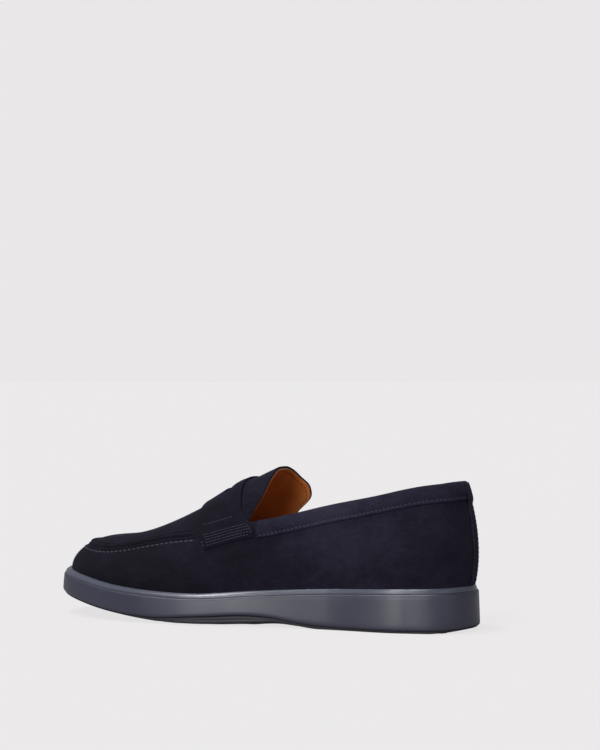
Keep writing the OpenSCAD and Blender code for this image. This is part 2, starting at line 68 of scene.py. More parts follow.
# The stitches' depth below the upper edge, on the apron's seam and on the collar band
APRON_SEAM = 2.6
BAND_SEAM = BAND_DEPTH - 1.6
# Half width of the strip over the back seam in stations, and its thickness
BACK_STRIP_HALF = 0.9
BACK_STRIP_SUEDE = 0.8
TAB_DEPTH = 10.4
# Half length of the slot in the strap, in degrees over the instep
SLOT_HALF = 22.0
RIM_HEIGHT = 3.3
TREAD = 0.6
# From the sole's wall to the feather line of the upper
TOE_INSET, HEEL_INSET = 6.5, 4.3
APRON_PITCH, FINE_PITCH, TAB_PITCH = 3.7, 2.8, 2.0
# Air between two layers, and under the strap
GAP = 0.06
STRAP_LIFT = 0.3
# Height of the insole board's top above the ledge
BOARD_TOP = 3.3
MARGIN_WIDTH = 12.0
# Offsets of the layers from the last
UNDER_SUEDE = -SUEDE - GAP
OVER_LINING = UNDER_SUEDE - FILLING - GAP
IN_LINING = OVER_LINING - LINING
HALF_LENGTH = 150.0
THROAT_Y = 6.6
SOLE_WIDTH = 106.0
# Stations from the heel tip to the toe tip along one side, and the station of the throat
K = 40
THROAT = K / 2
# Where the collar band and its stitches begin behind the throat
BAND_Y = 12.4
SEAM_Y = 13.5
# Station at which the quarter lining and the vamp lining meet
LINING_SEAM = 22.7
# Degrees over the instep from the upper edge to the crest
INSTEP_TURN = 55
# Height of the last's feather line above the ledge
FOOT_RISE = 0.2

# Outline of the sole from the heel tip to the toe tip, as (x, y)
OUTER_SIDE = [(4, 150), (28, 141), (39, 114), (40, 60), (44, 10), (53, -40), (51, -80),
              (40, -115), (19, -142), (-4, -150)]
INNER_SIDE = [(4, 150), (-20, 141), (-31, 114), (-31, 60), (-38, 10), (-52, -45), (-52, -80),
              (-45, -113), (-26, -142), (-4, -150)]
# Heights and shape numbers along the shoe, as (y, value)
LEDGE_Z = [(-150, 28), (-120, 24), (-90, 20), (-60, 17.8), (-25, 17), (10, 19.5), (50, 22),
           (100, 24), (150, 25.5)]
WALL_LOW_Z = [(-150, 16.8), (-120, 11.6), (-90, 6.9), (-60, 4.3), (-25, 5.7), (10, 7.2),
              (25, 6.3), (40, 3.9), (60, 2.1), (80, 2), (130, 2), (150, 3)]
OUTSOLE_LOW_Z = [(-150, 15), (-120, 10), (-90, 5.5), (-60, 2.3), (-30, 0.9), (5, 1.8),
                 (28, 3.1), (40, 1.9), (52, 0.2), (65, 0), (130, 0), (150, 2)]
SPINE_Z = [(-150, 49), (-100, 53), (-80, 57.5), (-60, 65), (-40, 74.5), (-10, 91.5),
           (15, 102), (60, 117), (110, 128), (150, 130)]
EDGE_Z = [(-150, 47.5), (-105, 46), (-90, 47.5), (-70, 51), (-50, 54.5), (-30, 57), (5, 66.5),
          (25, 70.5), (65, 80), (90, 85), (125, 92), (150, 94.5)]
SPINE_X = [(-150, -3), (-60, -2), (0, 1), (60, 4), (150, 4)]
SQUARENESS = [(-150, 0.88), (-95, 0.82), (-50, 0.86), (-30, 0.88), (10, 0.76), (65, 0.74),
              (150, 0.68)]
FULLNESS = [(-150, 0.7), (-100, 1.4), (-60, 2.2), (0, 1.2), (60, 1), (110, 2.2), (150, 3.6)]
# Front and back edge of the strap, as (w, y): w is 0 at a tab's lower edge, 1 at the upper
# edge of the wall and 2 at the crest
STRAP_FRONT = [(0, -22.5), (1, -28.5), (1.4, -34), (2, -36), (2.6, -34)]
STRAP_BACK = [(0, 11), (0.8, 8), (1, 6), (1.1, 1.5), (1.3, -2), (1.6, -5), (2, -6.5),
              (2.4, -5)]
# How far the strap stands off the apron towards the crest
STRAP_RISE = [(0, 0), (1.2, 0), (1.7, 0.3), (2, 0.4), (2.3, 0.3)]
# Free edge of the tongue, as (w, y), and how far it turns outwards: w is 0 at its foot on the
# outer side, 1 at the crest and 2 at its foot on the inner side
TONGUE_EDGE = [(0, 5), (0.1, 6), (0.3, 13), (0.6, 17), (1, 15), (1.3, 16), (1.5, 18.5),
               (1.7, 23.5), (1.8, 22.5), (1.9, 13), (2, 7)]
TONGUE_FLARE = [(0, 0), (0.2, 2.5), (0.45, 2.9), (0.8, 1.5), (1, 1.1)]
# Distance of the back strip from the last, at heights measured from the upper edge
OVER_BAND = [(-14.5, 0.06), (-12.1, 1.2), (-10.7, 1.45), (-7, 1.5), (-3, 1.45), (-1.2, 1.1)]


# ---- curves ----
def slopes(p, d):
    """Slope at each point of a list, for a curve through all of them."""
    inner = (np.diff(p, axis=0).T / d).T
    m = np.zeros_like(p)
    m[0], m[-1] = inner[0], inner[-1]
    m[1:-1] = ((inner[:-1].T * d[1:] + inner[1:].T * d[:-1]) / (d[:-1] + d[1:])).T
    return m


def hermite(a, b, ma, mb, t):
    """Point at share t between a and b, with the slopes ma and mb there."""
    return ((2 * t**3 - 3 * t**2 + 1) * a + (t**3 - 2 * t**2 + t) * ma
            + (3 * t**2 - 2 * t**3) * b + (t**3 - t**2) * mb)


def at(table, y):
    """Smooth value of a (y, value) table at y."""
    x, v = np.array(table, float).T
    d = np.diff(x)
    m = slopes(v, d)
    y = np.asarray(y, float)
    i = np.clip(np.searchsorted(x, y, side="left") - 1, 0, len(x) - 2)
    t = np.clip((y - x[i]) / d[i], 0, 1)
    return hermite(v[i], v[i + 1], m[i] * d[i], m[i + 1] * d[i], t)


def station_y(k):
    a = math.pi * np.abs(k) / K
    return HALF_LENGTH * np.cos(a) + THROAT_Y * np.sin(a) ** 2


def station_at(y):
    root = np.sqrt(np.maximum(0, HALF_LENGTH**2 - 4 * THROAT_Y * (np.asarray(y) - THROAT_Y)))
    return K / math.pi * np.arccos(np.clip((HALF_LENGTH - root) / (2 * THROAT_Y), -1, 1))


# Even steps of the station number for the tables of x
PER_STATION = 50
FINE_K = np.linspace(0, K, K * PER_STATION + 1)


def side_curve(side, other):
    """One side of the outline, as its x at the stations of FINE_K."""
    steps = 60
    pts = np.array([other[1], *side, other[-2]], float)
    d = np.linalg.norm(np.diff(pts, axis=0), axis=1)
    m = slopes(pts, d)
    curve = [hermite(pts[i], pts[i + 1], m[i] * d[i], m[i + 1] * d[i], j / steps)
             for i in range(1, len(side)) for j in range(steps + 1)]
    x, y = np.array(curve).T
    return np.interp(FINE_K, station_at(y), x)


OUTER_X = side_curve(OUTER_SIDE, INNER_SIDE)
INNER_X = side_curve(INNER_SIDE, OUTER_SIDE)
# Scale that brings the outline as drawn to the sole's width, and the middle of the result
SX = SOLE_WIDTH / (OUTER_X.max() - INNER_X.min())
OUTER_X, INNER_X = OUTER_X * SX, INNER_X * SX
CENTRE_X = (OUTER_X[::PER_STATION].max() + INNER_X[::PER_STATION].min()) / 2


def wrapped(k):
    """The same station, within K of the heel tip."""
    k = np.asarray(k, float)
    return np.where(k > K, k - 2 * K, np.where(k < -K, k + 2 * K, k))


def wall_point(k):
    w = wrapped(k)
    x = np.where(w < 0, np.interp(-w, FINE_K, INNER_X), np.interp(w, FINE_K, OUTER_X))
    return np.stack([x - CENTRE_X, station_y(w)], -1)


def unit(v):
    return v / np.maximum(np.linalg.norm(v, axis=-1, keepdims=True), 1e-9)


def pole_y(y):
    """Keeps y between the poles of the last, with a soft change."""
    toe, heel, blend = -100.0, 112.0, 25.0
    return (np.hypot(y - toe, blend) - np.hypot(y - heel, blend) + toe + heel) / 2


def foot_inset(y):
    """Distance from the sole's wall to the feather line."""
    return HEEL_INSET + (TOE_INSET - HEEL_INSET) * (HALF_LENGTH - y) / (2 * HALF_LENGTH)


def record(k):
    """Everything that a station needs: wall, normal, foot, crest and the shape numbers."""
    p = wall_point(k)
    t = wall_point(np.asarray(k) + 1) - wall_point(np.asarray(k) - 1)
    n = unit(np.stack([-t[..., 1], t[..., 0]], -1))
    y = p[..., 1]
    c = pole_y(y)
    inset = foot_inset(y)
    foot = np.stack([p[..., 0] - n[..., 0] * inset, y - n[..., 1] * inset,
                     at(LEDGE_Z, y) + FOOT_RISE], -1)
    crest = np.stack([at(SPINE_X, c) * SX - CENTRE_X, c, at(SPINE_Z, c)], -1)
    flat = np.concatenate([n, np.zeros_like(n[..., :1])], -1)
    return SimpleNamespace(wall=p, normal=flat, foot=foot, crest=crest, y=y,
                           e=at(SQUARENESS, y), full=at(FULLNESS, y), edge=at(EDGE_Z, y))


# ---- the last ----
def last(k, a):
    """Point of the last at station k and angle a."""
    k, a = np.broadcast_arrays(np.asarray(k, float), np.asarray(a, float))
    r = record(k)
    g = np.sin(a) ** r.e
    h = 1 - np.maximum(np.cos(a), 0) ** r.e
    out = r.full * np.sin(math.pi * np.minimum(1, g / 0.65) ** 0.75)
    share = np.stack([h, h, g], -1)
    return r.foot + (r.crest - r.foot) * share + r.normal * out[..., None]


def normal(k, a):
    """Outward direction there. Close to the crest it turns into the spine's own direction."""
    tilt, near, top = 0.0122, 1.50, 1.555
    k, a = np.broadcast_arrays(np.asarray(k, float), np.asarray(a, float))
    a = np.clip(a, 0, HALF_PI)
    u = last(k + 0.5, a) - last(k - 0.5, a)
    v = last(k, np.minimum(a + tilt, HALF_PI)) - last(k, np.maximum(a - tilt, 0))
    n = unit(np.cross(v, u))
    c = record(k).crest[..., 1]
    s = (at(SPINE_Z, c + 2) - at(SPINE_Z, c - 2)) / 4
    crest = unit(np.stack([np.zeros_like(s), -s, np.ones_like(s)], -1))
    blend = np.clip((a - near) / (top - near), 0, 1)[..., None]
    return unit(n * (1 - blend) + crest * blend)


def skin(k, a, o=0.0):
    """Points at distance o outside the last."""
    a = np.clip(a, 0, HALF_PI)
    return last(k, a) + normal(k, a) * np.asarray(o, float)[..., None]


def angle_at(k, z):
    """Angle of the point at height z."""
    r = record(np.asarray(k, float))
    g = np.clip((z - r.foot[..., 2]) / (r.crest[..., 2] - r.foot[..., 2]), 0, 1)
    return np.arcsin(g ** (1 / r.e))


def drop_angle(k, drop):
    """Angle of the point at a drop below the upper edge."""
    return angle_at(k, record(np.asarray(k, float)).edge - drop)


def along(k, s):
    """Angles at distances s up the surface from the upper edge, one row per station."""
    fine = np.linspace(0, HALF_PI, 260)
    k = np.asarray(k, float)
    p = last(k[:, None], fine[None, :])
    run = np.concatenate([np.zeros((len(k), 1)),
                          np.cumsum(np.linalg.norm(np.diff(p, axis=1), axis=2), axis=1)], 1)
    e = drop_angle(k, 0)
    return np.array([np.interp(np.interp(e[i], fine, run[i]) + s, run[i], fine)
                     for i in range(len(k))])


def smooth(x):
    """0 at x = 0, rising to 1 at x = 1."""
    x = np.clip(x, 0, 1)
    return x * x * (3 - 2 * x)


# ---- meshes ----
def make(name, verts, faces, material, slot, nodes=(), bevel=0.0, sharp=50, solid=0.0):
    """A piece from points in millimetres; solid is the thickness given to an open sheet."""
    mesh = bpy.data.meshes.new(name)
    mesh.from_pydata((np.asarray(verts, float) * MM).tolist(), [], faces)
    bm = bmesh.new()
    bm.from_mesh(mesh)
    bmesh.ops.remove_doubles(bm, verts=bm.verts, dist=1e-6)
    bmesh.ops.recalc_face_normals(bm, faces=bm.faces)
    bm.to_mesh(mesh)
    bm.free()
    mesh.materials.append(material)
    mesh.polygons.foreach_set("use_smooth", [True] * len(mesh.polygons))
    mesh.update()
    piece = bpy.data.objects.new(name, mesh)
    bpy.context.scene.collection.objects.link(piece)
    if solid:
        thick = piece.modifiers.new("thickness", "SOLIDIFY")
        thick.thickness, thick.offset, thick.use_even_offset = solid * MM, 0, True
    if bevel:
        edges = piece.modifiers.new("edges", "BEVEL")
        edges.width, edges.segments, edges.limit_method = bevel * MM, 3, "ANGLE"
        edges.angle_limit = math.radians(sharp)
    else:
        mesh.set_sharp_from_angle(angle=math.radians(sharp))
    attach(piece, "root")
    if nodes:
        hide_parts(*nodes)
    return piece


def grid_faces(n, m, wrap_u=False, wrap_v=False, skip=None):
    """Faces of a grid of n rows of m points, joined up along or across where it wraps."""
    faces = []
    for i in range(n if wrap_u else n - 1):
        for j in range(m if wrap_v else m - 1):
            if skip is None or not skip(i, j):
                a, b = i * m, (i + 1) % n * m
                c = (j + 1) % m
                faces.append((a + j, b + j, b + c, a + c))
    return faces


def loft(name, grid, material, slot, nodes=(), wrap_u=False, caps=True, **more):
    """Solid swept through closed profiles, one row of the grid each."""
    n, m = grid.shape[:2]
    faces = grid_faces(n, m, wrap_u, True)
    if not wrap_u and caps:
        half = m // 2
        for base in (0, (n - 1) * m):
            faces += [(base + j, base + j + 1, base + m - 2 - j, base + m - 1 - j)
                      for j in range(half - 1)]
            if m % 2:
                faces.append((base + half - 1, base + half, base + half + 1))
    return make(name, grid.reshape(-1, 3), faces, material, slot, nodes, **more)


def band(ks, angles, o1, o2, edge_round=0.25):
    """Closed profiles round a layer between two offsets, with rounded edges."""
    p = last(ks[:, None], angles)
    n = normal(ks[:, None], angles)
    mid, half = (o1 + o2) / 2, (o1 - o2) / 2
    outer = p + n * o1
    inner = p + n * o2
    first, final = p[:, 0] + n[:, 0] * mid, p[:, -1] + n[:, -1] * mid
    back = unit(p[:, 0] - p[:, 1]) * edge_round
    on = unit(p[:, -1] - p[:, -2]) * edge_round
    turn = [math.pi * i / 4 for i in (1, 2, 3)]
    top = [final + on * math.sin(t) + n[:, -1] * half * math.cos(t) for t in turn]
    low = [first + back * math.sin(t) - n[:, 0] * half * math.cos(t) for t in turn]
    return np.concatenate([outer, np.stack(top, 1), inner[:, ::-1], np.stack(low, 1)], 1)


def ring(ks, inset, z):
    """Points at a distance inside the wall of the sole."""
    r = record(ks)
    q = r.wall - r.normal[:, :2] * np.asarray(inset, float).reshape(-1, 1)
    return np.concatenate([q, np.asarray(z, float).reshape(-1, 1) * np.ones((len(ks), 1))], 1)


def foot_ring(ks, inset, z):
    """Points at a distance inside the feather line of the upper."""
    r = record(ks)
    q = r.foot - r.normal * inset
    return np.concatenate([q[:, :2], np.asarray(z, float).reshape(-1, 1)], 1)


def moved(faces, start):
    """Faces with their point numbers counted from start."""
    return [tuple(start + v for v in face) for face in faces]


def stack(name, rings, material, slot, nodes=(), across=10):
    """Solid from stacked rings, closed at both ends by strips across the shoe."""
    count = len(rings[0])
    half = count // 2
    verts = np.concatenate(rings)
    faces = grid_faces(len(rings), count, False, True)
    t = np.linspace(0, 1, across + 1)[:, None]
    for end in (rings[0], rings[-1]):
        faces += moved(grid_faces(half + 1, across + 1), len(verts))
        strips = [end[i] * (1 - t) + end[(count - i) % count] * t for i in range(half + 1)]
        verts = np.concatenate([verts, *strips])
    return make(name, verts, faces, material, slot, nodes)


# ---- stitches ----
def marks(path, normals, pitch, slant=0.0):
    """Evenly spaced (point, direction, normal) along a path."""
    run = np.concatenate([[0], np.cumsum(np.linalg.norm(np.diff(path, axis=0), axis=1))])
    count = int(run[-1] / pitch)
    x = (np.arange(count) + 0.5) * run[-1] / count

    def sample(v, s):
        return np.stack([np.interp(s, run, v[:, c]) for c in range(3)], -1)

    a, b = sample(path, x - 0.4), sample(path, x + 0.4)
    n = unit(sample(normals, x))
    d = unit(b - a)
    d = unit(d * math.cos(slant) + np.cross(n, d) * math.sin(slant))
    return list(zip((a + b) / 2, d, n))


# Rings along a stitch, and points round each of them
STITCH_RINGS, STITCH_SIDES = 9, 8


def stitch_verts(mark, length, radius, height):
    """One stitch: a two-ply thread that comes up, lies on the surface and goes down."""
    p, d, n = mark
    side = np.cross(n, d)
    steepest, twist, ply_depth = math.radians(62), 4.0, 0.14
    verts = []
    for t in np.linspace(-1, 1, STITCH_RINGS):
        lift = height * (1 - abs(t) ** 3.2) - radius * 0.9
        centre = p + d * (t * length / 2) + n * lift
        lean = steepest * t * abs(t)
        up = n * math.cos(lean) + d * math.sin(lean)
        for i in range(STITCH_SIDES):
            turn = 2 * math.pi * i / STITCH_SIDES
            ply = radius * (1 + ply_depth * math.cos(2 * (turn - twist * t)))
            verts.append(centre + side * math.cos(turn) * ply + up * math.sin(turn) * ply)
    return verts


def stitch_row(name, rows, material, slot, nodes=(), length=2.3, radius=0.33, height=0.55):
    """One piece from all the stitches of some rows."""
    verts, faces = [], []
    final = STITCH_RINGS * STITCH_SIDES - 1
    one = grid_faces(STITCH_RINGS, STITCH_SIDES, False, True)
    one += [tuple(range(STITCH_SIDES)), tuple(final - i for i in range(STITCH_SIDES))]
    for mark in rows:
        faces += moved(one, len(verts))
        verts += stitch_verts(mark, length, radius, height)
    return make(name, verts, faces, material, slot, nodes, sharp=80)


def on_path(ks, angles, offset, pitch, flip=1, slant=0.0):
    """Places of the stitches along a path on the last; flip is -1 on the inside."""
    return marks(skin(ks, angles, offset + 0 * ks), normal(ks, angles) * flip, pitch, slant)


# ---- materials ----
class Paint:
    """A small helper round a node tree."""

    def __init__(self, name, **sockets):
        self.material = bpy.data.materials.new(name)
        self.material.use_nodes = True
        self.tree = self.material.node_tree
        self.shader = self.tree.nodes["Principled BSDF"]
        for key, value in sockets.items():
            self.shader.inputs[key.replace("_", " ")].default_value = value
        self.place = self.tree.nodes.new("ShaderNodeTexCoord").outputs["Object"]

    def node(self, kind, values=(), **props):
        made = self.tree.nodes.new(kind)
        for key, value in props.items():
            setattr(made, key, value)
        for socket, value in values:
            target = made.inputs[socket]
            if isinstance(value, bpy.types.NodeSocket):
                self.tree.links.new(value, target)
            else:
                target.default_value = value
        return made

    def noise(self, scale, detail=3.0, rough=0.55, stretch=None, distort=0.0):
        place = self.vector("MULTIPLY", self.place, stretch) if stretch else self.place
        return self.node("ShaderNodeTexNoise", [("Vector", place), ("Scale", scale),
                         ("Detail", detail), ("Roughness", rough),
                         ("Distortion", distort)]).outputs[0]

    def vector(self, operation, a, b=(0.0, 0.0, 0.0), output="Vector"):
        return self.node("ShaderNodeVectorMath", [(0, a), (1, b)],
                         operation=operation).outputs[output]

    def painted_light_on_nap(self):
        """Painted shade and painted light: darker towards the toe, with a painted pool of light
        on the quarter.
        """
        middle, squeeze = (0.0, 0.062, 0.066), (0.0, 0.85, 1.5)
        split = self.node("ShaderNodeSeparateXYZ", [(0, self.place)])
        # Painted shade: the colour darkens towards the toe
        back = self.range(split.outputs["Y"], -0.09, 0.05, -0.12, 0.03)
        # Painted light: a lighter patch round a point on the quarter
        light_pool_offset = self.vector("MULTIPLY", self.vector("SUBTRACT", self.place, middle), squeeze)
        light_pool_distance = self.vector("LENGTH", light_pool_offset, output="Value")
        return self.math("ADD", back, self.range(light_pool_distance, 0.004, 0.05, 0.16, 0.0))

    def math(self, operation, a, b=0.0, c=0.0):
        return self.node("ShaderNodeMath", [(0, a), (1, b), (2, c)],
                         operation=operation).outputs[0]

    def ramp(self, factor, *stops):
        made = self.node("ShaderNodeValToRGB", [("Fac", factor)])
        ramp = made.color_ramp
        while len(ramp.elements) < len(stops):
            ramp.elements.new(0.5)
        for element, (position, colour) in zip(ramp.elements, stops):
            element.position = position
            element.color = (*colour, 1)
        return made.outputs[0]

    def range(self, factor, low, high, to_low, to_high):
        return self.node("ShaderNodeMapRange", [("Value", factor), ("From Min", low),
                         ("From Max", high), ("To Min", to_low),
                         ("To Max", to_high)]).outputs[0]

    def blend(self, factor, a, b, kind="MIX"):
        return self.node("ShaderNodeMix", [(0, factor), (6, a), (7, b)], data_type="RGBA",
                         blend_type=kind).outputs[2]

    def set(self, socket, value):
        self.tree.links.new(value, self.shader.inputs[socket])

    def bump(self, *layers):
        """Layers are (height, strength, depth in metres), the broadest first."""
        before = None
        for height, strength, depth in layers:
            values = [("Height", height), ("Strength", strength), ("Distance", depth)]
            if before is not None:
                values.append(("Normal", before))
            before = self.node("ShaderNodeBump", values).outputs[0]
        self.set("Normal", before)
        return self.material


def times(colour, factor):
    return tuple(v * factor for v in colour)


def suede(name, light=1.0):
    """Near-black navy nap with painted shade round the toe and painted light on the quarter;
    light makes a piece paler or darker than the rest.
    """
    p = Paint(name, Roughness=0.92, Sheen_Weight=0.06, Sheen_Roughness=0.4,
              Sheen_Tint=(0.42, 0.38, 0.75, 1), Specular_IOR_Level=0.1)
    cloud = p.noise(42, 3, 0.6, distort=0.6)
    strokes = p.noise(190, 4, 0.62, (1, 0.6, 1.3), 0.8)
    fibre = p.noise(1500, 3, 0.7, (1, 0.6, 1.3))
    fluff = p.noise(5200, 2, 0.6)
    dark = times((0.0046, 0.0042, 0.0068), light)
    mid = times((0.0092, 0.0083, 0.0160), light)
    pale = times((0.0190, 0.0172, 0.0305), light)
    mixed = p.math("MULTIPLY_ADD", cloud, 0.3, p.math("MULTIPLY_ADD", strokes, 0.35, 0.175))
    # Mottling of the nap, plus the painted shade and painted light
    painted_light_on_nap = p.math("ADD", mixed, p.painted_light_on_nap())
    base = p.ramp(painted_light_on_nap, (0.36, dark), (0.5, mid), (0.70, pale))
    speck = p.ramp(fibre, (0.3, (0.62, 0.62, 0.66)), (0.5, (1, 1, 1)), (0.72, (1.0, 1.0, 1.0)))
    p.set("Base Color", p.blend(0.8, base, speck, "MULTIPLY"))
    p.set("Roughness", p.range(strokes, 0.3, 0.7, 0.86, 0.98))
    return p.bump((strokes, 0.16, 0.0009), (fibre, 0.34, 0.00035), (fluff, 0.28, 0.00012))


def leather(name, tone=(1.0, 1.0, 1.0), rough=0.46):
    """Smooth cognac leather with fine pores."""
    p = Paint(name, Roughness=rough, Specular_IOR_Level=0.45, Coat_Weight=0.08,
              Coat_Roughness=0.35)
    cloud = p.noise(36, 3, 0.55, distort=0.5)
    pore = p.noise(1300, 3, 0.6)
    cells = p.node("ShaderNodeTexVoronoi", [("Vector", p.place), ("Scale", 1150.0)],
                   feature="DISTANCE_TO_EDGE").outputs["Distance"]
    deep = tuple(t * v for t, v in zip(tone, (0.40, 0.115, 0.022)))
    warm = tuple(t * v for t, v in zip(tone, (0.52, 0.165, 0.036)))
    base = p.ramp(cloud, (0.34, deep), (0.66, warm))
    crease = p.ramp(cells, (0.0, (0.72, 0.66, 0.62)), (0.09, (1, 1, 1)))
    p.set("Base Color", p.blend(0.55, base, crease, "MULTIPLY"))
    p.set("Roughness", p.range(pore, 0.3, 0.7, rough - 0.07, rough + 0.1))
    return p.bump((cloud, 0.1, 0.0012), (cells, 0.22, 0.00022), (pore, 0.16, 0.00016))


def rubber(name, colour, rough, spread=0.12, fine=0.12):
    """Satin rubber whose colour wanders by a share, with a fine grain."""
    p = Paint(name, Specular_IOR_Level=0.5)
    cloud = p.noise(26, 3, 0.55)
    grain = p.noise(2600, 2, 0.6)
    low, high = times(colour, 1 - spread), times(colour, 1 + spread)
    p.set("Base Color", p.ramp(cloud, (0.35, low), (0.65, high)))
    p.set("Roughness", p.range(cloud, 0.3, 0.7, rough - 0.05, rough + 0.05))
    return p.bump((cloud, 0.06, 0.0012), (grain, fine, 0.00012))


def cloth(name, colour, rough, scale):
    """Thread, fibre board or foam, by the scale of its grain."""
    p = Paint(name, Specular_IOR_Level=0.2)
    coarse = p.noise(60, 2)
    fine = p.noise(scale, 3, 0.65)
    mixed = p.math("MULTIPLY_ADD", fine, 0.6, p.math("MULTIPLY", coarse, 0.4))
    p.set("Base Color", p.ramp(mixed, (0.36, times(colour, 0.72)), (0.62, colour)))
    p.set("Roughness", p.range(fine, 0.3, 0.7, rough - 0.08, rough))
    return p.bump((fine, 0.35, 0.0003))


def steel(name):
    p = Paint(name, Metallic=1.0)
    grain = p.noise(900, 3, 0.6, (1, 0.04, 1))
    p.set("Base Color", p.ramp(grain, (0.3, (0.42, 0.42, 0.44)), (0.7, (0.62, 0.62, 0.64))))
    p.set("Roughness", p.range(grain, 0.3, 0.7, 0.28, 0.42))
    return p.bump((grain, 0.12, 0.0001))


SUEDE_LOOK = suede("suede")
APRON_LOOK = suede("suede_apron")
STRAP_LOOK = suede("suede_strap", 0.9)
# Painted light: the collar band's suede, also used on the back strip, is the suede made 1.35
# times lighter where the padded band meets the light
BAND_PAINTED_LIGHT_LOOK = suede("suede_collar_painted_light", 1.35)
LINING_LOOK = leather("lining_leather")
SOCK_LOOK = leather("sock_leather", (0.92, 0.9, 0.85), 0.52)
WALL_LOOK = rubber("sole_rubber", (0.030, 0.030, 0.051), 0.38)
RIM_LOOK = rubber("rim_rubber", (0.058, 0.063, 0.088), 0.25, 0.06, 0.05)
OUTSOLE_LOOK = rubber("outsole_rubber", (0.020, 0.018, 0.025), 0.55)
THREAD_LOOK = cloth("thread", (0.075, 0.072, 0.108), 0.6, 2600)
TAB_THREAD_LOOK = cloth("thread_fine", (0.058, 0.055, 0.085), 0.62, 2600)
DARK_THREAD_LOOK = cloth("thread_dark", (0.022, 0.021, 0.034), 0.7, 2600)
LINING_THREAD_LOOK = cloth("thread_lining", (0.17, 0.05, 0.012), 0.6, 2600)
BOARD_LOOK = cloth("fibre_board", (0.45, 0.34, 0.2), 0.9, 500)
FOAM_LOOK = cloth("foam", (0.62, 0.58, 0.5), 0.95, 1400)
STEEL_LOOK = steel("shank_steel")

# All stations, from the heel tip round by the outer side, so that i and -i are a pair
AROUND = np.concatenate([np.linspace(0, K, 321), np.linspace(-K, 0, 321)[1:-1]])
# Heights at those stations: the ledge, the wall's lower edge and the outsole's underside
AROUND_Y = record(AROUND).y
LEDGE, LOW, UNDER = (at(table, AROUND_Y) for table in (LEDGE_Z, WALL_LOW_Z, OUTSOLE_LOW_Z))


def round_heel(a, n=360):
    """Stations from a on the outer side, round the heel, to the same on the inner side."""
    return np.linspace(a, -a, n)


def round_toe(a, n):
    """Stations from a on the outer side, round the toe, to the same on the inner side."""
    return np.linspace(a, 2 * K - a, n)


def there_and_back(share):
    """A run up one side and down the other, and the sign of the side at each of its steps."""
    side = np.concatenate([np.ones(len(share)), -np.ones(len(share) - 1)])
    return np.concatenate([share, share[::-1][1:]]), side


def fade(y, full, none):
    """1 at y = full, falling to 0 at y = none."""
    return smooth((y - none) / (full - none))


def bump_at(s, middle, width, height):
    """A rounded ridge, or a groove where height is negative."""
    return height * np.exp(-((s - middle) / width) ** 2)


# ---- upper ----
def side_wall():
    """Vamp and quarters in one piece, down to the feather line."""
    ks = AROUND
    r = record(ks)
    vamp = fade(r.y, -33, -24)
    # Behind the throat the wall ends a little lower, under the collar band
    high = r.edge - np.where(np.abs(wrapped(ks)) < THROAT, 0.4, 0)
    # Distances up from the upper edge, close together where the stitched seam needs them
    s = np.array([-13, -11, -9, -7.5, -6, -5, -4.2, -3.6, -3.1, -2.6, -2.1, -1.6, -1.2, -0.8,
                  -0.4, -0.1])
    top = along(ks, s)
    low = top[:, :1] * np.linspace(0, 1, 30)[None, :-1] ** 0.8
    angles = np.concatenate([low, top], 1)
    angles = np.minimum(angles, angle_at(ks, high)[:, None] + 1e-4)
    # The stitches pull a groove, and the suede swells on both sides of it
    seam = (bump_at(s, -APRON_SEAM, 0.75, -0.42) + bump_at(s, -0.9, 0.8, 0.5)
            + bump_at(s, -4.6, 1.3, 0.16))
    offset = np.zeros(angles.shape)
    offset[:, low.shape[1]:] = seam[None, :] * vamp[:, None]
    p, n = last(ks[:, None], angles), normal(ks[:, None], angles)
    n[:, 0] = r.normal
    outer = p + n * offset[..., None]
    inner = (p - n * SUEDE)[:, ::-3]
    lip = p[:, -1:] + n[:, -1:] * -0.6 + unit(p[:, -1:] - p[:, -2:-1]) * 0.25
    loft("side_wall_suede", np.concatenate([outer, lip, inner], 1), SUEDE_LOOK, "suede",
         ["side_wall"], wrap_u=True)


def apron():
    """Front panel inside the seam, with a rolled bead at its edge."""
    ks = np.linspace(THROAT + 0.5, K, 230)
    # Distances up from the seam, close together over the bead and the groove inside it
    s = np.array([0.15, 0.3, 0.6, 0.95, 1.3, 1.7, 2.05, 2.35, 2.6, 2.85, 3.15, 3.5, 3.9, 4.3,
                  4.65, 5.0, 5.4, 5.9, 6.6, 7.6, 9])
    roll = (BEAD + 0.05) * np.exp(-np.abs((s - 1.75) / 1.45) ** 3)
    profile = roll + bump_at(s, 3.75, 0.55, -0.4) + bump_at(s, 5.0, 0.9, 0.3)
    # The rear end is feathered to slip under the strap
    feather = 1.1 * (1 - smooth((ks - ks[0]) / 0.6))
    halves = []
    for side in (1, -1):
        kk = side * ks
        rolled = fade(record(kk).y, -37, -30)
        edge = along(kk, s)
        rest = edge[:, -1:] + (HALF_PI - edge[:, -1:]) * np.linspace(0, 1, 26)[None, 1:] ** 0.9
        a = np.concatenate([edge, rest], 1)
        o = np.zeros(a.shape)
        o[:, :len(s)] = profile[None, :] * rolled[:, None]
        o += 0.05 - feather[:, None]
        p, n = last(kk[:, None], a), normal(kk[:, None], a)
        top = p + n * o[..., None]
        low = p - n * SUEDE
        tuck = p[:, :1] + n[:, :1] * -0.55 - unit(p[:, 1:2] - p[:, :1]) * 0.15
        halves.append((top, low, tuck))
    (top, low, tuck), (top2, low2, tuck2) = halves
    grid = np.concatenate([tuck, top, top2[:, ::-1][:, 1:], tuck2, low2[:, 1::3],
                           low[:, ::-1][:, ::3]], 1)
    loft("apron_suede", grid, APRON_LOOK, "suede", ["apron"], caps=False)


def strap_angle(k, w):
    """Angle at w: 0 is a tab's lower edge, 1 the wall's upper edge and 2 the crest."""
    return np.where(w < 1, drop_angle(k, TAB_DEPTH * (1 - w)),
                    drop_angle(k, 0) + (HALF_PI - drop_angle(k, 0)) * (w - 1))


def skive(share):
    """How much closer the tab lies, at a share of the way from its lower edge."""
    return 0.45 * (1 - smooth(share / 0.3))


